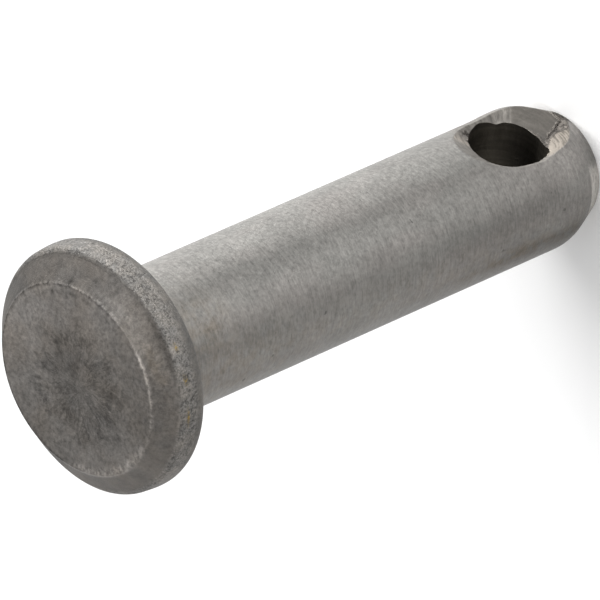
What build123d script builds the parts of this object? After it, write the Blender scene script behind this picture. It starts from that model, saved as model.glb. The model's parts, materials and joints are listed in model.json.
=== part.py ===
from build123d import *
from math import cos, radians, sin
import os

# Clevis pin for 3/16 in holes, 3/4 in long under its head, one piece of plain steel.
# It stands on its flat tip with its head up. The origin is the centre of the tip's end
# face, +Z runs up the pin to its head, and the cotter hole runs along X.

# Shank, in mm
shank_diameter = 4.66
length_under_head = 19.05
seat_fillet = 0.15  # root radius between the shank and the underside of the head

# Tip: a short taper that leads the pin into its clevis
tip_diameter = 3.56
tip_length = 1.21
shoulder_radius = 2.0  # the shank rolls over into the taper on this radius
tip_edge_radius = 0.06

# Head: upset from the same bar, with a bevelled front and a barrel-shaped rim
head_height = 1.70
head_diameter = 7.98  # over the crest of the rim
crest_height = 0.50  # from the underside of the head to that crest
crest_radius = 1.5
rim_back_drop = 0.02  # the rim stands this far inside its crest at the underside
rim_back_radius = 0.40
rim_front_drop = 0.04  # and this far inside it at the bevel
rim_front_radius = 0.26
bevel_height = 0.70
bevel_width = 0.75
face_edge_radius = 0.08
dish_depth = 0.05  # the heading punch leaves the face very slightly hollow
dish_border = 0.45  # level border between the hollow and the bevel

# Cotter hole, countersunk at both mouths
hole_diameter = 2.38
hole_from_tip = 2.72
countersink_diameter = 4.12  # across the cone, level with the crest of the shank
countersink_angle = 118

# Flat torn into the countersink of the +X mouth, on its tip side. Its ragged edge is an
# arc, placed off the middle plane of the hole, towards the shank's +Y flank.
flat_depth = 0.575  # below the crest of the shank
flat_turn = 8.6  # degrees about Z, away from square to the hole
flat_start = 0.40  # the ragged edge leaves the end of the tip here,
flat_bow = -0.30  # passes here halfway up the taper,
flat_end = -0.60  # and runs out here, in the hole

shank_radius = shank_diameter / 2
hole_radius = hole_diameter / 2
head_radius = head_diameter / 2
face_radius = head_radius - rim_front_drop - bevel_width
seat = length_under_head
top = seat + head_height

with BuildPart() as clevis_pin:
    # Half section from the tip up to the face, turned about the pin's axis
    with BuildSketch(Plane.XZ):
        with BuildLine():
            FilletPolyline(
                (0, 0),
                (tip_diameter / 2, 0),
                (shank_radius, tip_length),
                (shank_radius, seat),
                (head_radius - rim_back_drop, seat),
                (head_radius, seat + crest_height),
                (face_radius + bevel_width, top - bevel_height),
                (face_radius, top),
                (face_radius - dish_border, top),
                radius=[
                    tip_edge_radius,
                    shoulder_radius,
                    seat_fillet,
                    rim_back_radius,
                    crest_radius,
                    rim_front_radius,
                    face_edge_radius,
                ],
            )
            TangentArc(
                (0, top - dish_depth),
                (face_radius - dish_border, top),
                tangent=(1, 0),
            )
            Line((0, top - dish_depth), (0, 0))
        make_face()
    revolve(axis=Axis.Z)

    # The cotter hole is drilled and countersunk from each side to the middle
    for side in (1, -1):
        mouth = Plane(origin=(side * shank_radius, 0, hole_from_tip), z_dir=(side, 0, 0))
        with Locations(mouth):
            CounterSinkHole(
                hole_radius,
                countersink_diameter / 2,
                depth=shank_radius,
                counter_sink_angle=countersink_angle,
            )

    # The torn flat, drawn on its own plane with x down the pin and y to the +Y flank
    flat_plane = Plane(
        origin=(shank_radius - flat_depth, 0, 0),
        x_dir=(0, 0, -1),
        z_dir=(cos(radians(flat_turn)), -sin(radians(flat_turn)), 0),
    )
    in_hole = -hole_from_tip + hole_radius / 2
    with BuildSketch(flat_plane):
        with BuildLine():
            ragged_edge = ThreePointArc(
                (0, flat_start),
                (-tip_length / 2, flat_bow),
                (in_hole, flat_end),
            )
            Polyline(
                ragged_edge @ 1,
                (-hole_from_tip, shank_radius),
                (0, shank_radius),
                ragged_edge @ 0,
            )
        make_face()
    extrude(amount=shank_radius, mode=Mode.SUBTRACT)

clevis_pin.part.label = "clevis_pin"

os.makedirs("parts", exist_ok=True)
export_step(clevis_pin.part, "parts/clevis_pin.step")
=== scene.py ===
import json
import math

import bmesh
import bpy
import numpy as np
from mathutils import Matrix, Vector, noise


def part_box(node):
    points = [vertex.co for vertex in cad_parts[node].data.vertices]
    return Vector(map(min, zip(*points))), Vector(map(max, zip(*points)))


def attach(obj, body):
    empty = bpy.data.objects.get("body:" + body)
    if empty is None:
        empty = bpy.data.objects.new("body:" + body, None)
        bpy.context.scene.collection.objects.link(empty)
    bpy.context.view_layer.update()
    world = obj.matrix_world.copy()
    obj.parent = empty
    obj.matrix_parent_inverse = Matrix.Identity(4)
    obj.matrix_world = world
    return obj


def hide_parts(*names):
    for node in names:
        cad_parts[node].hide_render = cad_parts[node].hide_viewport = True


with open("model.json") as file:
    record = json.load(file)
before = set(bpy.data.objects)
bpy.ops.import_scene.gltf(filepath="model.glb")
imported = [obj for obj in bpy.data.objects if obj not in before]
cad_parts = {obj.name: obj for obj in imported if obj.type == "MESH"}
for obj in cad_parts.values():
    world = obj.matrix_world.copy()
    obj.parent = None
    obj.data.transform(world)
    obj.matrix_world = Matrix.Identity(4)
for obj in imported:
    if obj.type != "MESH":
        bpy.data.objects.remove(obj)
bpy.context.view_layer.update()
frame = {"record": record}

# The clevis pin is one skin of steel: the turned tip, shank and head, the two mouths of the
# cotter hole and the bore between them. It is worked out in mm, and masks over its vertices
# say where each finish and each mark lies, and where light and shade are painted. Angles about
# the pin's axis are in degrees, from +X, where the torn mouth is.
MM = 0.001

# ---------------------------------------------------------------- sizes, in mm
mounts = {mount["name"]: mount for mount in frame["record"]["mounts"]}
shank_r = mounts["shank"]["dims"]["r_mm"]
bore_r = mounts["cotter_hole"]["dims"]["r_mm"]
bore_z = mounts["cotter_hole"]["pos_m"][2] / MM
seat_z = mounts["head_seat"]["pos_m"][2] / MM
_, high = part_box("clevis_pin")
head_r = high.x / MM
top_z = high.z / MM

# the turned profile
seat_fillet = 0.15
tip_r, tip_length, shoulder_r, tip_edge_r = 1.78, 1.19, 1.75, 0.06
crest_height, crest_radius = 0.50, 1.5
rim_back_drop, rim_back_radius = 0.02, 0.40
rim_front_drop, rim_front_radius = 0.04, 0.26
bevel_height, bevel_width = 0.70, 0.75
face_edge_radius = 0.08
dish_depth, dish_border = 0.05, 0.45
face_r = head_r - rim_front_drop - bevel_width
corner_z = top_z - bevel_height

# the head as it was struck: its face is off centre and slightly oval, and the bevel's outer
# corner is lifted on one side, while the face's edge is worn on the other
face_shift, face_shift_turn, face_shrink = 0.05, -148, 0.07
face_oval, face_oval_turn = 0.106, 102
corner_lift, lift_turn, lift_half_width = 0.13, -55, 50
worn_drop, worn_turn, worn_half_width = 0.015, 85, 60

# the countersink and the flat torn into it
countersink_angle = 118
cone_slope = 1 / math.tan(math.radians(countersink_angle / 2))
cone_r = 2.06
flat_depth, flat_turn = 0.575, 8.6

# the grid of the skin: each mouth of the hole has a window of its own in it
SECTORS = 240  # around the pin
WINDOW = 80  # sectors, and rows, of a window
half_window = WINDOW // 2
window_low, window_high = 0.07, 5.35
arc_step, tip_step, shank_step, head_step = 0.04, 0.25, 0.24, 0.07
dish_rings = 60

ZONES = ("cone", "flat", "bore", "torn", "scuffed", "brow", "crack", "edge")
CONE, FLAT, BORE, TORN, SCUFFED, BROW, CRACK, EDGE = range(len(ZONES))


# ---------------------------------------------------------------- helpers
def rounded(corners, radii, step, fewest=5):
    """Points along a polyline with rounded corners; the arcs are cut every `step` mm."""
    points = [np.array(corners[0], float)]
    for before, corner, after, radius in zip(corners, corners[1:], corners[2:], radii):
        corner = np.array(corner, float)
        to_before = np.array(before, float) - corner
        to_after = np.array(after, float) - corner
        to_before /= np.linalg.norm(to_before)
        to_after /= np.linalg.norm(to_after)
        half = math.acos(float(to_before @ to_after)) / 2
        middle = (to_before + to_after) / np.linalg.norm(to_before + to_after)
        centre = corner + middle * radius / math.sin(half)
        start = corner + to_before * radius / math.tan(half) - centre
        end = corner + to_after * radius / math.tan(half) - centre
        turn = math.atan2(start[0] * end[1] - start[1] * end[0], float(start @ end))
        count = max(fewest, math.ceil(abs(turn) * radius / step))
        for k in range(count + 1):
            c, s = math.cos(turn * k / count), math.sin(turn * k / count)
            points.append(centre + (c * start[0] - s * start[1], s * start[0] + c * start[1]))
    points.append(np.array(corners[-1], float))
    return points


def filled(points, step):
    """The same polyline with no gap longer than `step` mm."""
    out = [points[0]]
    for a, b in zip(points, points[1:]):
        count = max(1, math.ceil(np.linalg.norm(b - a) / step - 1e-6))
        out += [a + (b - a) * k / count for k in range(1, count + 1)]
    return np.array(out)


def rough(points, scale, octaves=3, seed=0.0):
    """Fractal noise, about -1 to 1, at an array of points in mm."""
    flat = np.asarray(points, float).reshape(-1, 3)
    out = np.zeros(len(flat))
    for n in range(octaves):
        k = scale * 2**n
        places = [(p[0] * k + seed, p[1] * k - seed, p[2] * k + 7 * n) for p in flat]
        out += [noise.noise(place) / 1.6**n for place in places]
    return out.reshape(np.asarray(points).shape[:-1])


def smooth(x, a, b):
    """Rises softly from 0 at a to 1 at b."""
    t = np.clip((x - a) / (b - a), 0, 1)
    return t * t * (3 - 2 * t)


def between(x, a, b, c, d):
    """Rises softly from 0 to 1 between a and b, and falls back between c and d."""
    return smooth(x, a, b) * (1 - smooth(x, c, d))


def bell(x, middle, width):
    """A soft bump: 1 in the middle, fading over the width."""
    return np.exp(-(((x - middle) / width) ** 2))


def soft_min(a, b, width):
    """The smaller of two heights, rounded over the width where they cross."""
    h = np.clip(0.5 + 0.5 * (b - a) / width, 0, 1)
    return b + (a - b) * h - width * h * (1 - h)


def turned_from(turn, start):
    """How far an angle lies from another one, -180 to 180 degrees."""
    return (turn - start + 180) % 360 - 180


def read(table, at, column=1):
    """A column of a table, read between the places in its first column."""
    return np.interp(at, [row[0] for row in table], [row[column] for row in table])


def read_around(table, theta):
    """The same for a table that runs around the hole in degrees."""
    turns, values = zip(*table)
    return np.interp(np.degrees(theta), turns, values, period=360)


vertices, zones = [], []  # chunks of vertices, and of the zones that each vertex lies in
faces = []


def add(rows, zone=None):
    """Adds a grid of vertices and returns the index of each."""
    rows = np.asarray(rows, float)
    start = sum(len(chunk) for chunk in vertices)
    index = start + np.arange(rows.shape[0] * rows.shape[1]).reshape(rows.shape[:2])
    vertices.append(rows.reshape(-1, 3))
    zones.append(np.zeros((index.size, len(ZONES))) if zone is None else zone.reshape(-1, len(ZONES)))
    return index


def stitch(index, closed=True):
    """Faces between neighbouring rows of vertex indices."""
    a, b = index[:-1], index[1:]
    if closed:
        a2, b2 = np.roll(a, -1, 1), np.roll(b, -1, 1)
    else:
        a, a2, b, b2 = a[:, :-1], a[:, 1:], b[:, :-1], b[:, 1:]
    faces.extend(np.stack([a, a2, b2, b], -1).reshape(-1, 4).tolist())


def turned(profile, sectors):
    """The grid that a profile of radii and heights leaves at some sectors, row by row."""
    r, z = np.asarray(profile, float).T[..., None]
    angles = 2 * np.pi * np.asarray(sectors) / SECTORS
    return np.stack(np.broadcast_arrays(r * np.cos(angles), r * np.sin(angles), z), -1)


# ---------------------------------------------------------------- tip, shank and head
section = rounded(
    [
        (0, 0),
        (tip_r, 0),
        (shank_r, tip_length),
        (shank_r, seat_z),
        (head_r - rim_back_drop, seat_z),
        (head_r, seat_z + crest_height),
        (face_r + bevel_width, corner_z),
        (face_r, top_z),
        (face_r - dish_border, top_z),
    ],
    [
        tip_edge_r,
        shoulder_r,
        seat_fillet,
        rim_back_radius,
        crest_radius,
        rim_front_radius,
        face_edge_radius,
    ],
    arc_step,
)
below_seat = np.array([point for point in section if 0.01 < point[1] < seat_z - 0.2])
below_seat = below_seat[np.argsort(below_seat[:, 1])]


def lathe_r(z):
    """Radius of the turned tip and shank at a height."""
    return np.interp(z, below_seat[:, 1], below_seat[:, 0])


def face_stretch(turn):
    """How far the edge of the face stands out of its true circle."""
    shift = face_shift * np.cos(np.radians(turn - face_shift_turn))
    return shift + face_oval * np.cos(2 * np.radians(turn - face_oval_turn)) - face_shrink


def struck(grid):
    """The turned head's grid, upset as it was struck."""
    x, y, z = np.moveaxis(grid, -1, 0)
    r = np.hypot(x, y)
    turn = np.degrees(np.arctan2(y, x))
    near_top = smooth(z, corner_z, top_z)
    near_face = near_top * smooth(r, face_r - 0.9, face_r - 0.1)
    grow = 1 + near_face * face_stretch(turn) / np.maximum(r, 1e-6)
    lift = corner_lift * bell(turned_from(turn, lift_turn), 0, lift_half_width)
    lift = lift * smooth(z, corner_z - 0.5, corner_z) * (1 - near_top)
    worn = worn_drop * bell(turned_from(turn, worn_turn), 0, worn_half_width)
    worn = worn * bell(r, face_r, 0.16) * near_top
    return np.stack([x * grow, y * grow, z + lift - worn], -1)


# rows of the profile below, beside and above the windows
tip_rows = filled([point for point in section if point[1] < window_low - 1e-6], tip_step)
tip_rows = [point for point in tip_rows if point[0] > 0.05]
tip_rows.append((float(lathe_r(window_low)), window_low))
window_z = np.linspace(window_low, window_high, WINDOW + 1)
window_rows = np.stack([lathe_r(window_z), window_z], 1)
upper = [np.array([shank_r, window_high])] + [point for point in section if point[1] > window_high]
upper = filled(upper, head_step)
upper_rows = [upper[0]]
for row in upper[1:]:
    if row[1] >= seat_z - 0.4 or row[1] - upper_rows[-1][1] >= shank_step:
        upper_rows.append(row)
dish = np.linspace(1, 0, dish_rings)[1:-1]
dish_rows = np.stack([(face_r - dish_border) * dish, top_z - dish_depth * (1 - dish**2)], 1)
upper_rows = np.concatenate([upper_rows, dish_rows])

# the brow is a painted highlight along the face's edge, and the edge a painted shade just outside it,
# over the rounding's reflection of the lamps
upper_zone = np.zeros((len(upper_rows), SECTORS, len(ZONES)))
row_r, row_z = upper_rows.T[..., None]
upper_zone[..., BROW] = bell(row_r, face_r, 0.045) * smooth(row_z, top_z - 0.12, top_z - 0.03)
upper_zone[..., EDGE] = bell(row_r - face_r, 0.01, 0.07) * (row_z > top_z - 0.3)

tip_index = add(turned(tip_rows, range(SECTORS)))
upper_index = add(struck(turned(upper_rows, range(SECTORS))), upper_zone)
stitch(tip_index)
stitch(upper_index)
tip_centre = add([[(0, 0, 0)]])[0, 0]
face_centre = add([[(0, 0, top_z - dish_depth)]])[0, 0]
for k in range(SECTORS):
    after = (k + 1) % SECTORS
    faces.append([tip_centre, tip_index[0, after], tip_index[0, k]])
    faces.append([face_centre, upper_index[-1, k], upper_index[-1, after]])

# the flanks between the two windows, by the first sector of each
flanks = {}
for first in (half_window, half_window + SECTORS // 2):
    sectors = np.arange(first, first + SECTORS // 2 - WINDOW + 1)
    index = add(turned(window_rows[1:-1], sectors))
    ring = sectors % SECTORS
    flanks[first] = np.vstack([tip_index[-1][ring], index, upper_index[0][ring]])
    stitch(flanks[first], closed=False)

# ---------------------------------------------------------------- the mouths of the cotter hole
# Heights are measured along the hole's axis over a plane square to it: y across the pin and
# w up the pin from the hole's axis. Angles around the hole run from the flank, where y is
# largest, towards the head, and the reach is the distance from the hole's axis.

# slope of the torn mouth's wall, a shallow ramp on its tip side: (degrees, rise over run)
wall_slopes = [
    (-173, 0.60), (-156, 0.52), (-144, 0.44), (-131, 0.33), (-121, 0.25), (-109, 0.17),
    (-95, 0.17), (-60, 0.20), (-37, 0.20), (-20, 0.45), (-7, 0.60), (100, 0.60),
]
# height of the torn mouth's edge over the middle of the pin: (degrees, mm)
edge_heights = [
    (-170, 1.79), (-120, 1.79), (-92, 1.76), (-76, 1.80), (-57, 1.82), (-40, 1.80),
    (-27, 1.78), (-16, 1.84), (0, 1.91), (12, 1.90), (26, 1.84), (60, 1.82),
    (80, 1.84), (105, 1.81), (150, 1.82), (174, 1.84),
]
# bites out of the torn mouth's edge, and a swelling: (degrees, half-width, mm)
bites = [(-142, 18, 0.17), (-30, 9, -0.055)]
# both mouths' edges are uneven, more on the side away from the flank, and broken at two
# places there, in coarse and in fine steps: (degrees, half-width, mm)
edge_uneven, away_uneven = 0.014, 0.012
coarse_break, fine_break = (-148, 16, 0.03), (-165, 22, 0.05)
# ragged edge of the torn flat: (height from the tip, where it lies across the pin, width)
torn_edge = [
    (0.0, 0.12, 0.14), (0.16, 0.0, 0.24), (0.42, -0.20, 0.42), (0.6, -0.31, 0.48),
    (0.81, -0.30, 0.34), (1.1, -0.35, 0.20), (1.35, -0.47, 0.12), (1.6, -0.70, 0.08),
    (2.4, -1.3, 0.08),
]
# the flat ends at this height, and lower the further it is beyond this place across the pin
flat_end, flat_end_from, flat_end_slope = 1.80, 0.65, 0.78
# the crack along that ragged edge: (height from the tip, where it lies across the pin)
crack_line = [(0.0, 0.12), (0.23, 0.05), (0.50, -0.05), (0.83, -0.24), (1.11, -0.29), (1.3, -0.40)]
crack_width = 0.055
# marks of the tool in the wall: first degrees and reach, mm inward per degree, last degrees
tool_marks = [(50, 1.45, 0.0054, 76), (64, 1.80, 0.013, 84)]
tool_mark_width = 0.03
# damage around the torn mouth: the degrees between which it comes and goes, and the mm from
# the hole's edge between which it fades
damage = {
    "burr": ((26, 36, 58, 72), (0.12, 0.3)),
    "lip": ((-128, -118, -92, -80), (0.06, 0.2)),
    "gouge": ((-60, -50, -40, -32), (0.3, 0.6)),
    "flank": ((-75, -50, 45, 70), (0.35, 0.75)),
}
# the wall's border is looked for up to the first reach, and lies at the second where there is
# none; it stays clear of the hole's edge and of the window, and is evened over its neighbours
search_end, border_default = 2.4, 2.2
wall_least, outer_least = 0.12, 0.35
evened_over = 9
# rows of a mouth: shares of the way out over its wall, which stops this far short of its
# border, steps in mm over that border, and shares of the way from there to the window's
wall_stop = 0.03
wall_shares = np.array([0, 0.014, 0.03, 0.06, *np.linspace(0.1, 1, 17)])[:, None]
border_steps = np.array([-0.015, 0, 0.015, 0.03, 0.06, 0.1])[:, None]
outer_shares = np.linspace(0, 1, 15)[1:-1, None] ** 1.25
window_fade = 0.25


def edge_height(theta, torn):
    """Height at the bore's edge, where the countersink ends."""
    if torn:
        return read_around(edge_heights, theta)
    return np.full_like(theta, shank_r + (bore_r - cone_r) * cone_slope)


def wall_height(theta, reach, torn):
    """Height of the countersink's wall: a plain cone, or uneven at the torn mouth."""
    slope = read_around(wall_slopes, theta) if torn else cone_slope
    return edge_height(theta, torn) + (reach - bore_r) * slope


def body_height(y, z):
    """Height of the turned surface."""
    return np.sqrt(np.maximum(lathe_r(z) ** 2 - y**2, 0.01))


def torn_flat(y, z, theta, reach, at):
    """Height of the torn flat, how far its ragged edge is crossed, and 1 short of its end."""
    edge = read(torn_edge, z) + 0.05 * rough(at, 2.6, seed=1.3)
    across = (y - edge) / (read(torn_edge, z, 2) / 2)
    end = flat_end - flat_end_slope * np.maximum(y - flat_end_from, 0)
    short_of_end = smooth(end - z + 0.06 * rough(at, 2.0, seed=8.0), -0.40, 0.12)
    height = shank_r - flat_depth + y * math.tan(math.radians(flat_turn))
    settle = smooth(reach - bore_r, 0.0, 0.5)
    height = height * settle + edge_height(theta, True) * (1 - settle)
    height = height + 0.006 * rough(at * (1, 4, 1), 1.5, octaves=2, seed=2.0)
    return height, across, short_of_end


def tool_mark(turn, reach, first, first_reach, inward, last):
    """A dark line that runs inward around the wall."""
    line = bell(reach - first_reach + inward * (turn - first), 0, tool_mark_width)
    return line * between(turn, first - 8, first, last, last + 10)


def mouth_height(y, w, torn):
    """Heights and zones over (y, w): a cone, cut on the tip side by a ramp and a torn flat."""
    z = w + bore_z
    theta = np.arctan2(w, y)
    reach = np.hypot(y, w)
    body = body_height(y, z)
    wall = wall_height(theta, reach, torn)
    x = soft_min(body, wall, 0.03)
    sunk = smooth(body - wall, -0.01, 0.03)
    zone = np.zeros(y.shape + (len(ZONES),))
    if not torn:
        zone[..., CONE] = sunk
        return x, zone

    turn = np.degrees(theta)
    at = np.stack([y, z, np.full_like(y, 3.1)], -1)
    damaged = {
        name: between(turn, *arc) * (1 - smooth(reach - bore_r, *fade))
        for name, (arc, fade) in damage.items()
    }

    # the flat, and the lumps along its ragged edge
    flat, across, short_of_end = torn_flat(y, z, theta, reach, at)
    inside = smooth(across, -1, 1) * short_of_end
    lumps = (1 - smooth(np.abs(across), 0.9, 1.5)) * short_of_end
    swell = 0.035 * rough(at, 4.5, seed=4.0) * between(z, 0.25, 0.5, 1.1, 1.35) - 0.015
    x = x + (soft_min(body, flat, 0.025) - x) * inside
    x = x + lumps * swell * smooth(body - flat, 0.0, 0.05)
    zone[..., FLAT] = smooth(body - flat, 0.0, 0.03) * smooth(inside, 0.75, 1.0)

    # broken metal: the lumps, a burr and a lip at the hole's edge, and the crack
    burr = damaged["burr"] * smooth(rough(at, 5.0, octaves=2, seed=9.0), -0.1, 0.15)
    crack = bell(y, read(crack_line, z) + 0.05 * rough(at, 3.5, seed=5.0), crack_width)
    crack = crack * (1 - smooth(z, 1.25, 1.45))
    broken = np.maximum.reduce([lumps, burr, 0.8 * damaged["lip"], crack])
    zone[..., TORN] = broken

    # dark metal: the crack, the burr's shade, a gouge beside the flat and the tool's marks
    burr_shade = 0.7 * broken * (damaged["burr"] > 0.3)
    gouge = 0.6 * damaged["gouge"] * (1 - inside)
    marks = [0.7 * tool_mark(turn, reach, *mark) for mark in tool_marks]
    zone[..., CRACK] = np.maximum.reduce([crack, burr_shade, gouge, *marks])

    # the bare wall of the countersink shows on the head side and on the tip side's ramp
    tipward = smooth(-w / np.maximum(reach, 0.1), 0.12, 0.6)
    ramp = tipward * (1 - smooth(across, -1.0, -0.5)) * smooth(-y, 0.0, 0.3)
    ramp = ramp * smooth(turn, -160, -150)
    head_side = 1 - 0.6 * smooth(turn, 56, 74) - 0.4 * smooth(turn, 74, 100)
    head_side = head_side * smooth(turn, 38, 48)
    bare = np.maximum(head_side, ramp)
    zone[..., CONE] = sunk * bare
    zone[..., SCUFFED] = np.maximum(sunk * (1 - bare), 0.8 * damaged["flank"])
    return x, zone


def hole_edge(theta, torn):
    """Reach of the hole's uneven edge."""
    turn = np.degrees(theta)
    c = np.cos(theta)
    circle = np.stack([c, np.sin(theta), np.full_like(c, 2.0 if torn else 5.0)], -1)
    coarse, fine = [mm * bell(turn, at, width) for at, width, mm in (coarse_break, fine_break)]
    ragged = edge_uneven + away_uneven * (c < 0) + coarse
    edge = bore_r + ragged * rough(circle, 4.0, seed=0.5)
    edge = edge + fine * rough(circle, 10.0, octaves=2, seed=3.5)
    for at, half_width, depth in bites if torn else []:
        edge = edge + depth * bell(turned_from(turn, at), 0, half_width)
    return edge


def wall_border(theta, edge, far, torn):
    """Reach at which the countersink's wall meets the turned surface."""
    reach = np.linspace(bore_r, search_end, 240)[:, None]
    body = body_height(reach * np.cos(theta), reach * np.sin(theta) + bore_z)
    gap = body - wall_height(theta, reach, torn)
    border = reach[np.argmax(gap < 0, axis=0), 0]
    border = np.where(gap[-1] > 0, border_default, border)
    border = np.minimum(np.maximum(border, edge + wall_least), far - outer_least)
    beyond = evened_over // 2
    wrapped = np.concatenate([border[-beyond:], border, border[:beyond]])
    return np.convolve(wrapped, np.ones(evened_over) / evened_over, "valid")


def window_border(middle):
    """Vertices around the window over a mouth: below, to its right, above, to its left."""
    ring = [(middle - half_window + k) % SECTORS for k in range(WINDOW + 1)]
    right = (middle + half_window) % SECTORS
    left = (right + SECTORS // 2) % SECTORS
    sides = [
        tip_index[-1][ring],
        flanks[right][1:, 0],
        upper_index[0][ring][::-1][1:],
        flanks[left][:, -1][::-1][1:-1],
    ]
    return np.concatenate(sides)


def mouth(torn):
    """One mouth, from the hole's edge out to its window. Returns the loop at that edge."""
    flip = 1 if torn else -1
    window = window_border(0 if torn else SECTORS // 2)
    outline = np.concatenate(vertices)[window]
    y, w = outline[:, 1] * flip, outline[:, 2] - bore_z
    far = np.hypot(y, w)
    theta = np.arctan2(w, y)
    edge = hole_edge(theta, torn)
    border = wall_border(theta, edge, far, torn)
    wall = edge + (border - wall_stop - edge) * wall_shares
    outer = border + border_steps[-1] + (far - border - border_steps[-1]) * outer_shares
    reach = np.concatenate([wall, border + border_steps, outer])
    y, w = reach * np.cos(theta), reach * np.sin(theta)
    x, zone = mouth_height(y, w, torn)
    # it fades into the turned surface at the window's border
    fade = smooth(far - reach, 0.0, window_fade)
    body = body_height(y, w + bore_z)
    x = body + (x - body) * fade
    index = add(np.stack([x * flip, y * flip, w + bore_z], -1), zone * fade[..., None])
    stitch(np.vstack([index, window[None]]))
    return index[0], edge, x[0], theta


# ---------------------------------------------------------------- the bore between the mouths
near_index, near_edge, near_x, theta = mouth(torn=True)
far_index, far_edge, far_x, far_theta = mouth(torn=False)
opposite = [np.argmin(np.abs((far_theta + t) % (2 * np.pi) - np.pi)) for t in theta]
far_index, far_edge, far_x = far_index[opposite], far_edge[opposite], far_x[opposite]

# rows close to each mouth, by their depth, and between them, by their share of the way; the
# uneven edges settle into the round bore over these depths
depths = [0.012, 0.04, 0.1, 0.2, 0.35]
shares = [0.25, 0.4, 0.6, 0.75]
near_settle, far_settle = 1.0, 0.3
row_x = [near_x - depth for depth in depths]
row_x += [near_x * (1 - share) - far_x * share for share in shares]
row_x += [-far_x + depth for depth in reversed(depths)]
rows = []
for x in row_x:
    settle = np.where(x > 0, smooth(near_x - x, 0, near_settle), smooth(far_x + x, 0, far_settle))
    wall = np.where(x > 0, near_edge, far_edge) * (1 - settle) + bore_r * settle
    rows.append(np.stack([x, wall * np.cos(theta), wall * np.sin(theta) + bore_z], -1))
rows = np.array(rows)
zone = np.zeros(rows.shape[:2] + (len(ZONES),))
zone[..., BORE] = 1
index = add(rows, zone)
stitch(np.vstack([far_index[None], index[::-1], near_index[None]]))

# ---------------------------------------------------------------- the mesh
points = np.concatenate(vertices)

# metal pushed out beside the torn flat; this angle is in radians
pushed_out, pushed_turn, pushed_half_width = 0.035, 0.86, 0.36
pushed = pushed_out * bell(np.arctan2(points[:, 1], points[:, 0]), pushed_turn, pushed_half_width)
pushed *= between(points[:, 2], 0.3, 0.9, 1.8, 2.7)
pushed *= smooth(np.hypot(points[:, 0], points[:, 1]), 1.5, 1.9)
points[:, :2] *= 1 + (pushed / shank_r)[:, None]

mesh = bpy.data.meshes.new("pin_steel")
mesh.from_pydata((points * MM).tolist(), [], faces)
shell = bmesh.new()
shell.from_mesh(mesh)
bmesh.ops.recalc_face_normals(shell, faces=shell.faces)
shell.to_mesh(mesh)
shell.free()
mesh.polygons.foreach_set("use_smooth", [True] * len(mesh.polygons))
pin = bpy.data.objects.new("pin_steel", mesh)
bpy.context.collection.objects.link(pin)
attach(pin, "root")
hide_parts("clevis_pin")

# ---------------------------------------------------------------- where each finish, each mark and the painted light and shade lie
x, y, z = points.T
radius = np.hypot(x, y)
turn = np.degrees(np.arctan2(y, x))

# soft spots: strength, angle and height, half-width in degrees and half-height in mm
stains = [
    (1.3, -102, 3.0, 7, 2.6),
    (0.7, -45, 17.4, 25, 1.0),
    (0.5, -95, 16.5, 30, 3.0),
    (0.35, -95, 8.0, 25, 9.0),
    (0.9, -50, 20.54, 9, 0.12),
    (0.5, -62, 20.40, 12, 0.10),
]
rust_specks = [(2.2, -63, 19.87, 1.8, 0.05), (1.8, -81, 19.9, 3.5, 0.035), (1.2, -48, 19.9, 1.8, 0.05)]
dark_spots = [
    (0.9, -103, 3.0, 5, 2.2),
    (0.50, -108, 3.2, 10, 2.6),
    (0.2, -68, 4.6, 9, 0.9),
    # the next spot is painted shade, a crescent at the bevel's outer corner
    (2.0, -42, 20.21, 14, 0.07),
    (0.7, 20, top_z - 0.1, 45, 0.05),
    # the next spot is painted shade, a dark line where the taper ends
    (0.5, -80, 0.72, 16, 0.05),
]
# painted highlights and reflections on the bevel and the rim, and painted light on the tip and beside
# the hole
painted_light_spots = [
    (0.6, -62, 1.2, 30, 0.9),
    (1.0, -15, 0.33, 9, 0.22),
    (1.0, -22, 20.58, 15, 0.13),
    (0.9, -8, 20.64, 14, 0.10),
    (1.2, -42, 20.60, 7, 0.08),
    (3.2, -52, 20.52, 10, 0.10),
    (2.4, -67, 20.38, 12, 0.13),
    (0.7, -38, 19.93, 22, 0.14),
    (1.5, -106.5, 2.85, 1.6, 0.16),
]
# painted shade in a crescent at the bevel's outer corner
painted_corner_shade = [(0.35, -42, 20.20, 13, 0.06)]
# small dark dents in the face and the bevel: angle, distance from the axis, size, strength
dents = [
    (2, 3.45, 0.07, 0.8), (18, 3.10, 0.08, 1.0), (35, 3.04, 0.06, 0.7), (20, 2.59, 0.07, 0.8),
    (12, 2.79, 0.06, 0.5), (33, 2.79, 0.05, 0.6), (29, 2.80, 0.04, 0.6), (25, 2.81, 0.05, 0.6),
    (22, 2.83, 0.04, 0.5), (4, 2.75, 0.08, 0.4), (-2, 2.60, 0.06, 0.3), (-12, 3.5, 0.07, 0.3),
    (16, 1.03, 0.07, 0.5), (-28, 0.83, 0.2, 0.3), (-65, 0.72, 0.13, 0.4), (-67, 1.73, 0.10, 0.4),
    (-104, 1.74, 0.08, 0.4), (64, 0.86, 0.14, 0.3), (83, 1.41, 0.12, 0.3), (-100, 2.5, 0.06, 0.3),
]
# painted dark reflections along the shank: strength, angle, half-width
painted_reflection_bands = [(0.62, -67, 13), (0.48, -19, 9), (0.26, -103, 9), (0.95, -121, 9)]
# dark rings in the face: distance from the axis, half-width, where they come and go
dark_face_rings = [(2.76, 0.07, (-45, -10, 45, 80)), (3.06, 0.05, (5, 20, 50, 65))]
# painted light and shade across the face: its grey leans across it, by these amounts along X and Y
lean_x, lean_y, lean_start, lean_span = 0.040, 0.080, 0.05, 0.28
# heights between which one finish gives way to the next
taper_end, back_end, head_start = (0.60, 0.69), (19.40, 19.66), (19.7, 19.9)
rim_end, bevel_end = (top_z - 0.62, top_z - 0.50), (top_z - 0.09, top_z - 0.02)


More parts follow.
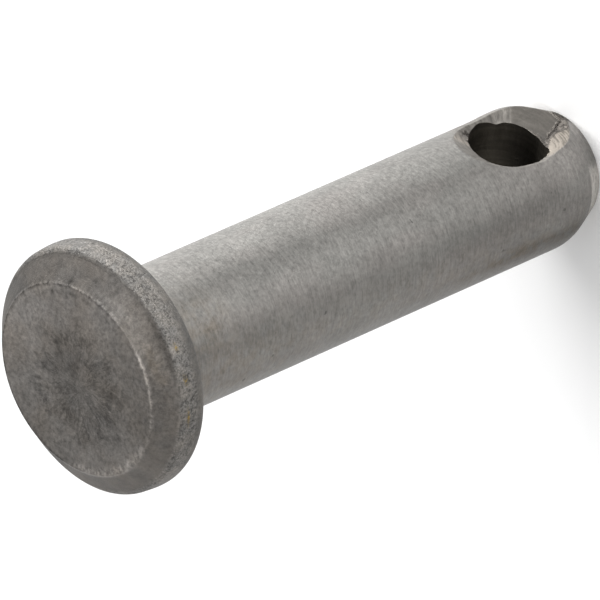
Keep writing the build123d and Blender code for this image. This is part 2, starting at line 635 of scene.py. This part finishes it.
def blob(up, turn_at, up_at, turn_width, up_width):
    """A soft spot, placed by its angle and by its height or its distance from the axis."""
    away = turned_from(turn, turn_at)
    return np.exp(-((away / turn_width) ** 2) - ((up - up_at) / up_width) ** 2)


def spots(table):
    """The soft spots of a table, added up."""
    return sum(strength * blob(z, *place) for strength, *place in table)


above_rim = smooth(z, *rim_end)
on_face = smooth(z, *bevel_end)
on_shank = between(z, 0.7, 1.3, seat_z - 0.5, seat_z - 0.2) * (radius > shank_r - 0.12)
back_quarter = between(-turn, 90, 112, 160, 176)  # of the head, on the untorn side
painted_face_lean = (lean_x * x + lean_y * y - lean_start) / lean_span * on_face

masks = dict(zip(ZONES, np.concatenate(zones).T))
# the edge's painted shade and the brow's painted highlight are kept to parts of the way around the
# face
masks["edge"] *= 0.4 * smooth(turn, -42, -30) + 0.6 * smooth(turn, -30, -5)
masks["brow"] *= between(turn, -122, -70, -48, -36) * (0.6 + 0.4 * smooth(turn, -76, -60))
border = bell(radius - face_r - face_stretch(turn), -0.10, 0.12)
border = border * smooth(z, top_z - 0.06, top_z - 0.02) * back_quarter
masks["brow"] = np.maximum(masks["brow"], 0.55 * border)

# broken metal where the torn flat runs out over the end of the tip
chip = between(y, -0.25, -0.1, 0.45, 0.6) * between(z, 0.03, 0.07, 0.22, 0.36) * (x > 1.5)
masks["torn"] = np.maximum(masks["torn"], chip)
masks["crack"] = np.maximum(masks["crack"], 0.5 * chip)

# the head's face, with its bevel and its rim over it, and the taper away from the torn flat, where a
# reflection is painted
masks["face"] = smooth(z, *head_start)
masks["bevel"] = above_rim * (1 - on_face)
masks["worn"] = masks["bevel"] * between(turn, -110, -50, -10, 10)
masks["rim"] = smooth(radius, shank_r + 0.1, shank_r + 0.4) * (1 - above_rim)
masks["back"] = masks["rim"] * (1 - smooth(z, *back_end))
masks["taper"] = (1 - smooth(z, *taper_end)) * smooth(-turn, 50, 64)

# stains, rust and dents; dark spots and rings; painted shade, painted reflections and painted
# highlights
masks["stain"] = spots(stains)
masks["rust"] = spots(rust_specks)
masks["dent"] = spots(painted_corner_shade)
for dent_turn, dent_radius, width, strength in dents:
    dent_x = dent_radius * math.cos(math.radians(dent_turn))
    dent_y = dent_radius * math.sin(math.radians(dent_turn))
    away = np.hypot(x - dent_x, y - dent_y)
    masks["dent"] += strength * bell(away, 0, width) * smooth(z, top_z - 0.6, top_z - 0.5)
ring_darkness = sum(bell(radius, at, width) * between(turn, *arc) for at, width, arc in dark_face_rings)
masks["ring"] = 0.8 * on_face * ring_darkness
bands = sum(strength * bell(turn, at, width) for strength, at, width in painted_reflection_bands)
bevel_borders = masks["bevel"] * (1 - masks["bevel"]) * (radius > face_r + 0.3)
masks["darker"] = (
    spots(dark_spots)
    # painted dark reflections along the shank
    + bands * on_shank
    # painted shade on the rim where the lamps fall on it
    + 1.5 * masks["rim"] * between(turn, -12, 14, 55, 110)
    + 1.2 * masks["rim"] * between(turn, -42, -16, -12, 14) * smooth(z, 19.5, 19.8)
    # painted shade on the bevel's outer border and where the lamps fall on it
    + 2.4 * bevel_borders * smooth(turn, -60, -20)
    + 0.75 * masks["bevel"] * smooth(turn, -25, 5)
    + 0.55 * on_face * blob(radius, 135, 2.6, 34, 0.7)
    + np.maximum(-painted_face_lean, 0)
)
masks["lighter"] = (
    spots(painted_light_spots)
    # painted light on the bevel and on the face's outer part, on the untorn side
    + 0.9 * masks["bevel"] * between(-turn, 60, 85, 112, 132)
    + 0.9 * on_face * back_quarter * smooth(radius, face_r - 1.2, face_r - 0.3)
    + np.maximum(painted_face_lean, 0)
)
for name, values in masks.items():
    mesh.attributes.new(name, "FLOAT", "POINT").data.foreach_set("value", values.astype(np.float32))


# ---------------------------------------------------------------- steel
class Nodes:
    """Short spellings for the shader nodes that the steel is made of."""

    def __init__(self, tree):
        self.tree = tree

    def new(self, kind, inputs=(), **settings):
        node = self.tree.nodes.new("ShaderNode" + kind)
        for key, value in settings.items():
            setattr(node, key, value)
        for key, value in dict(inputs).items():
            self.put(node.inputs[key], value)
        return node

    def put(self, socket, value):
        if isinstance(value, bpy.types.NodeSocket):
            self.tree.links.new(value, socket)
        else:
            socket.default_value = value

    def math(self, operation, a, b=0.0, clamp=False):
        return self.new("Math", {0: a, 1: b}, operation=operation, use_clamp=clamp).outputs[0]

    def plus(self, a, b):
        return self.math("ADD", a, b)

    def times(self, first, *others):
        """The product of all the values."""
        for other in others:
            first = self.math("MULTIPLY", first, other)
        return first

    def vector(self, operation, a, b=(0, 0, 0)):
        return self.new("VectorMath", {0: a, 1: b}, operation=operation).outputs[0]

    def scaled(self, a, factor):
        return self.new("VectorMath", {0: a, "Scale": factor}, operation="SCALE").outputs[0]

    def length(self, a):
        return self.new("VectorMath", {0: a}, operation="LENGTH").outputs["Value"]

    def noise(self, vector, scale=1.0, detail=3.0, roughness=0.5, distortion=0.0):
        """Fractal noise, 0 to 1; three scales stretch it along the axes."""
        if isinstance(scale, tuple):
            vector = self.vector("MULTIPLY", vector, scale)
            scale = 1.0
        inputs = {"Vector": vector, "Scale": scale, "Detail": detail, "Roughness": roughness}
        return self.new("TexNoise", {**inputs, "Distortion": distortion}).outputs["Fac"]

    def drift(self, vector, scale, reach):
        """A soft wandering of places, by up to half the reach along each axis."""
        cloud = self.new("TexNoise", {"Vector": vector, "Scale": scale, "Detail": 2.0})
        centred = self.vector("SUBTRACT", cloud.outputs["Color"], (0.5, 0.5, 0.5))
        return self.vector("MULTIPLY", centred, reach)

    def span(self, value, low, high, to_low=0.0, to_high=1.0):
        """A value from low to high becomes one from to_low to to_high, with soft ends."""
        inputs = {0: value, 1: low, 2: high, 3: to_low, 4: to_high}
        return self.new("MapRange", inputs, interpolation_type="SMOOTHSTEP").outputs[0]

    def mix(self, factor, a, b):
        return self.new("Mix", {0: factor, 2: a, 3: b}, data_type="FLOAT").outputs[0]

    def tint(self, factor, a, b):
        """A mix of two colours; a plain one is given without its alpha."""
        a, b = [(*c, 1) if isinstance(c, tuple) else c for c in (a, b)]
        return self.new("Mix", {0: factor, 6: a, 7: b}, data_type="RGBA").outputs[2]

    def shade(self, level, amount, factor):
        """A level, times the factor where the amount is 1."""
        return self.times(level, self.mix(amount, 1.0, factor))


steel = bpy.data.materials.new("steel")
steel.use_nodes = True
shader = steel.node_tree.nodes["Principled BSDF"]
n = Nodes(steel.node_tree)
place = n.scaled(n.new("TexCoord").outputs["Object"], 1 / MM)
height = n.new("SeparateXYZ", {0: place}).outputs[2]
mask = {name: n.new("Attribute", attribute_name=name).outputs["Fac"] for name in masks}


def by_zone(mix, value, finishes):
    """A value that each zone in turn replaces with its own."""
    for name, finish in finishes.items():
        value = mix(mask[name], value, finish)
    return value


base_grey, base_rough = 0.205, 0.5
head_level, bevel_level, rim_level, rim_back_level = 0.82, 0.63, 0.82, 0.656
painted_taper_light, pit_level, middle_level = 2.2, 0.55, 1.22
ramp_level, crescent_highlight_level = 0.84, 1.85
flat_level, scuffed_level, torn_level, crack_level = 0.64, 0.80, 0.62, 0.186
bore_level, bore_head_level = 0.62, 0.372

# grain at several scales
streak = n.noise(place, (6.0, 6.0, 10.0), 5, 0.66)
grain = n.noise(place, 8.0, 5, 0.75)
scratch = n.noise(place, (1.4, 1.4, 17.0), 3, 0.6)
mottle = n.noise(place, (0.8, 0.8, 0.6), 4, 0.6)
patch = n.noise(place, 1.8, 4, 0.6)
speckle = n.noise(place, 7.0, 5, 0.75)
blots = n.noise(place, 2.6, 5, 0.72)
fleck = n.noise(place, 15.0, 3, 0.7)

# sparse dark pits
wandered = n.vector("MULTIPLY", place, (1.6, 1.6, 1.8))
wandered = n.vector("ADD", wandered, n.drift(place, 7.0, (0.30, 0.30, 0.30)))
cells = n.new("TexVoronoi", {"Vector": wandered, "Scale": 1.0}).outputs
chosen = n.new("SeparateColor", {0: cells["Color"]}).outputs[0]
beyond_pit = n.math("SUBTRACT", cells["Distance"], n.span(chosen, 0.60, 1.0, 0.0, 0.11))
pits = n.math("SUBTRACT", 1.0, n.span(beyond_pit, -0.03, 0.05))

# the shank: fine circumferential grinding over the grain, and a painted reflection that makes the
# taper lighter
shank_grey = n.times(
    n.plus(
        n.plus(n.span(streak, 0.25, 0.75, 0.83, 1.17), n.span(grain, 0.25, 0.75, -0.18, 0.18)),
        n.span(scratch, 0.25, 0.75, -0.10, 0.10),
    ),
    n.span(mottle, 0.3, 0.7, 0.93, 1.07),
    n.span(patch, 0.25, 0.75, 0.95, 1.05),
)
shank_grey = n.shade(shank_grey, pits, pit_level)
# painted reflection: the taper away from the torn flat is painted lighter
shank_grey = n.shade(shank_grey, mask["taper"], painted_taper_light)

# the head's face: radial strokes, darkest in a rough middle, and dark rings
from_middle = n.vector("ADD", place, (0.25, 0.16, 0))
from_axis = n.length(n.vector("MULTIPLY", from_middle, (1, 1, 0)))
drifted = n.vector("ADD", from_middle, n.drift(place, 1.3, (0.5, 0.5, 0)))
compass = n.vector("NORMALIZE", n.vector("MULTIPLY", drifted, (1, 1, 0)))
outward = n.new("CombineXYZ", {2: n.times(from_axis, 3.6)}).outputs[0]
strokes = n.vector("ADD", n.vector("MULTIPLY", compass, (15.0, 15.0, 0)), outward)
strokes = n.noise(strokes, 1.0, 4, 0.65, 0.3)
middle = n.span(n.plus(from_axis, n.span(patch, 0.3, 0.7, -0.5, 0.5)), 1.1, 2.2, 1.0, 0.0)
dark_middle = n.times(n.span(strokes, 0.40, 0.58, 0.80, 1.10), n.span(blots, 0.34, 0.62, 0.66, 1.12))
face_grey = n.times(
    n.plus(n.span(strokes, 0.25, 0.75, 0.92, 1.08), n.span(speckle, 0.25, 0.75, -0.34, 0.34)),
    n.span(patch, 0.25, 0.75, 0.90, 1.10),
    n.mix(middle, middle_level, dark_middle),
)
face_grey = n.shade(face_grey, mask["ring"], n.span(strokes, 0.40, 0.60, 0.60, 0.95))
face_grey = n.times(face_grey, head_level)

# its bevel, and its speckled forged rim
bevel_grey = n.times(
    n.plus(n.span(speckle, 0.25, 0.75, 0.80, 1.20), n.span(patch, 0.3, 0.7, -0.10, 0.10)),
    n.times(n.span(mottle, 0.3, 0.7, 0.92, 1.08), bevel_level),
)
bevel_grey = n.shade(bevel_grey, mask["worn"], n.span(speckle, 0.3, 0.7, 0.82, 1.18))
bevel_grey = n.shade(bevel_grey, mask["worn"], n.span(grain, 0.3, 0.7, 0.90, 1.10))
rim_grey = n.plus(n.span(fleck, 0.33, 0.67, -0.42, 0.42), n.span(speckle, 0.3, 0.7, -0.28, 0.28))
rim_grey = n.shade(rim_grey, mask["back"], 0.35)
rim_grey = n.plus(rim_grey, n.span(patch, 0.3, 0.7, 0.85, 1.15))
rim_grey = n.times(rim_grey, n.mix(mask["back"], rim_level, rim_back_level))

# around the hole: turning marks on the wall and the flat, scratches on what is scuffed, and a painted
# highlight on the wall's head side
from_hole = n.vector("MULTIPLY", n.vector("SUBTRACT", place, (0, 0, bore_z)), (0, 1, 1))
hole_reach = n.length(from_hole)
hole_compass = n.vector("NORMALIZE", from_hole)
headward = n.span(height, bore_z - 0.3, bore_z + 0.3)


def hole_marks(by_turn, by_reach, detail, roughness):
    """Marks that change with the angle around the hole and with the distance from its axis."""
    outward = n.new("CombineXYZ", {0: n.times(hole_reach, by_reach)}).outputs[0]
    around = n.vector("MULTIPLY", hole_compass, (by_turn, by_turn, by_turn))
    return n.noise(n.vector("ADD", around, outward), 1.0, detail, roughness)


rings = hole_marks(2.2, 13.0, 3, 0.6)
flat_rings = hole_marks(2.2, 7.0, 3, 0.6)
scratches = hole_marks(9.0, 1.6, 4, 0.65)
cone_grey = n.plus(n.span(rings, 0.42, 0.53, 0.62, 1.05), n.span(grain, 0.3, 0.7, -0.08, 0.08))
# painted highlight: the wall is painted lighter on its head side
cone_grey = n.times(cone_grey, n.mix(headward, ramp_level, crescent_highlight_level))
cone_grey = n.shade(cone_grey, mask["crack"], 0.4)
flat_grey = n.times(
    n.plus(n.span(flat_rings, 0.3, 0.7, 0.88, 1.10), n.span(grain, 0.25, 0.75, -0.12, 0.12)),
    flat_level,
    n.span(patch, 0.3, 0.7, 0.95, 1.08),
)
scuffed_grey = n.times(n.span(scratches, 0.36, 0.58, 0.66, 1.10), scuffed_level)
scuffed_grey = n.shade(scuffed_grey, mask["crack"], 0.55)

# broken metal, and the drilled bore, darker towards the head and towards the tip
folds = n.math("ABSOLUTE", n.math("SUBTRACT", n.noise(place, 4.5, 4, 0.6, 0.8), 0.5))
torn_grey = n.plus(n.span(folds, 0.0, 0.05, -0.45, 0.0), n.span(speckle, 0.3, 0.7, 0.55, 1.05))
torn_grey = n.times(torn_grey, n.mix(mask["crack"], torn_level, crack_level))
drilled = n.noise(place, (7.0, 0.5, 0.5), 3, 0.6)
bore_grey = n.times(
    n.span(drilled, 0.3, 0.7, 0.82, 1.18),
    n.mix(headward, bore_level, bore_head_level),
    n.span(height, 1.45, 2.1, 0.3, 1.0),
)

# the zones put together, and the marks, the painted shade and the painted light over them
greys = {
    "face": face_grey,
    "bevel": bevel_grey,
    "rim": rim_grey,
    "cone": cone_grey,
    "scuffed": scuffed_grey,
    "flat": flat_grey,
    "torn": torn_grey,
    "bore": bore_grey,
}
grainy = n.span(grain, 0.3, 0.7, 0.7, 1.3)
level = by_zone(n.mix, shank_grey, greys)
# dark marks and painted shade make the steel darker; painted highlights and reflections make it
# lighter
level = n.shade(level, n.times(mask["darker"], grainy), 0.72)
level = n.shade(level, n.times(mask["lighter"], grainy), 1.28)
# painted highlight along the face's edge
level = n.shade(level, mask["brow"], n.span(speckle, 0.35, 0.6, 1.3, 2.2))
# dark dents, and the painted shade at the bevel's outer corner
level = n.shade(level, n.times(mask["dent"], n.span(speckle, 0.35, 0.6, 1.3, 0.6)), 0.35)
# painted shade just outside the face's edge
level = n.shade(level, mask["edge"], n.span(speckle, 0.35, 0.6, 0.32, 0.60))

hue = n.noise(place, (0.7, 0.7, 0.25), 3, 0.55)
shank_tint = n.tint(n.span(hue, 0.35, 0.65), (0.99, 0.967, 0.912), (1.0, 0.951, 0.897))
head_tint = n.tint(n.span(mottle, 0.3, 0.7), (1.0, 0.945, 0.89), (1.0, 0.91, 0.82))
rim_tint = n.tint(n.span(patch, 0.35, 0.65), (1.0, 0.965, 0.92), (1.0, 0.935, 0.86))
tints = {
    "rim": rim_tint,
    "cone": (1.0, 0.90, 0.785),
    "scuffed": (1.0, 0.94, 0.86),
    "flat": (1.0, 0.93, 0.84),
    "torn": (1.0, 0.91, 0.82),
    "bore": (1.0, 0.90, 0.74),
}
stained = n.span(n.noise(place, 2.5, 4, 0.6), 0.30, 0.7)
stained = n.math("MULTIPLY", mask["stain"], stained, clamp=True)
rusted = n.math("MULTIPLY", mask["rust"], n.span(fleck, 0.4, 0.6, 0.2, 1.0), clamp=True)
warmth = n.tint(n.math("MAXIMUM", mask["face"], mask["bevel"]), shank_tint, head_tint)
warmth = by_zone(n.tint, warmth, tints)
warmth = n.tint(stained, warmth, (0.90, 0.78, 0.64))
warmth = n.tint(rusted, warmth, (1.0, 0.72, 0.26))
n.put(shader.inputs["Base Color"], n.scaled(warmth, n.times(level, base_grey)))
shader.inputs["Metallic"].default_value = 1.0

roughs = {
    "face": n.span(speckle, 0.3, 0.7, 0.54, 0.66),
    "bevel": n.span(speckle, 0.3, 0.7, 0.58, 0.68),
    "rim": n.span(fleck, 0.3, 0.7, 0.58, 0.72),
    "cone": 0.62,
    "scuffed": 0.60,
    "flat": 0.40,
    "torn": 0.65,
}
shank_rough = n.plus(base_rough, n.span(grain, 0.3, 0.7, -0.05, 0.05))
n.put(shader.inputs["Roughness"], by_zone(n.mix, shank_rough, roughs))

# relief in mm: grinding, grain, pits, forged rim, torn metal
shank_relief = n.plus(n.times(streak, 0.007), n.times(grain, 0.008))
shank_relief = n.math("SUBTRACT", shank_relief, n.times(pits, 0.006))
reliefs = {
    "face": n.times(n.plus(speckle, n.times(strokes, 0.7)), n.mix(middle, 0.014, 0.026)),
    "bevel": n.times(speckle, 0.014),
    "rim": n.plus(n.times(fleck, 0.035), n.times(patch, 0.05)),
    "cone": n.times(rings, 0.012),
    "scuffed": n.times(scratches, 0.012),
    "flat": n.plus(n.times(flat_rings, 0.012), n.times(grain, 0.006)),
    "torn": n.plus(n.times(speckle, 0.04), n.times(n.span(folds, 0.0, 0.05), 0.02)),
}
relief = by_zone(n.mix, shank_relief, reliefs)
bump = n.new("Bump", {"Height": relief, "Strength": 1.0, "Distance": MM})
n.put(shader.inputs["Normal"], bump.outputs["Normal"])
mesh.materials.append(steel)

# ---------------------------------------------------------------- floor, in metres
half_floor = 3.0
corners = [(-half_floor, -half_floor, 0), (half_floor, -half_floor, 0)]
corners += [(half_floor, half_floor, 0), (-half_floor, half_floor, 0)]
floor_mesh = bpy.data.meshes.new("floor")
floor_mesh.from_pydata(corners, [], [(0, 1, 2, 3)])
floor = bpy.data.objects.new("floor", floor_mesh)
bpy.context.collection.objects.link(floor)
paper = bpy.data.materials.new("paper")
paper.use_nodes = True
paper_shader = paper.node_tree.nodes["Principled BSDF"]
paper_shader.inputs["Base Color"].default_value = (0.95, 0.95, 0.95, 1)
paper_shader.inputs["Roughness"].default_value = 0.9
floor_mesh.materials.append(paper)

# ---------------------------------------------------------------- light
world_strength = 0.60
world = bpy.data.worlds.new("world")
bpy.context.scene.world = world
world.use_nodes = True
background = world.node_tree.nodes["Background"]
background.inputs["Color"].default_value = (1, 1, 1, 1)
background.inputs["Strength"].default_value = world_strength
light_target = Vector((0, 0, 0.01))


def direction(azimuth, elevation):
    """The way to a lamp or the camera, from angles in degrees."""
    az, el = math.radians(azimuth), math.radians(elevation)
    return Vector((math.cos(az) * math.cos(el), math.sin(az) * math.cos(el), math.sin(el)))


def softbox(name, azimuth, elevation, distance, width, height, power):
    """A lamp with a wide face, turned to the pin; lengths in metres, power in watts."""
    light = bpy.data.lights.new(name, "AREA")
    light.shape = "RECTANGLE"
    light.size, light.size_y = width, height
    light.energy = power
    lamp = bpy.data.objects.new(name, light)
    bpy.context.collection.objects.link(lamp)
    away = direction(azimuth, elevation)
    lamp.location = light_target + away * distance
    lamp.rotation_mode = "QUATERNION"
    lamp.rotation_quaternion = away.to_track_quat("Z", "Y")


softbox("top", azimuth=40, elevation=74, distance=0.6, width=0.3, height=0.3, power=1.7)
softbox("side", azimuth=48, elevation=3, distance=0.30, width=0.20, height=0.04, power=2.1)
softbox("front", azimuth=-38, elevation=3, distance=0.40, width=0.12, height=0.05, power=0.8)
softbox("fill", azimuth=178, elevation=10, distance=0.50, width=0.30, height=0.15, power=0.35)

# ---------------------------------------------------------------- camera
camera_data = bpy.data.cameras.new("camera")
camera_data.lens = 750.44
camera_data.sensor_width = 36
camera_data.clip_start, camera_data.clip_end = 0.05, 5.0
camera = bpy.data.objects.new("camera", camera_data)
bpy.context.collection.objects.link(camera)
bpy.context.scene.camera = camera
camera_target = Vector((-0.3933, -0.4289, 11.6105)) * MM
camera_distance = 380.765
camera_roll = Matrix.Rotation(math.radians(-113.895), 3, "Z").to_quaternion()
away = direction(azimuth=-42.52, elevation=39.037)
camera.location = camera_target + away * camera_distance * MM
camera.rotation_mode = "QUATERNION"
camera.rotation_quaternion = (-away).to_track_quat("-Z", "Y") @ camera_roll
bpy.context.scene.view_settings.view_transform = "Standard"
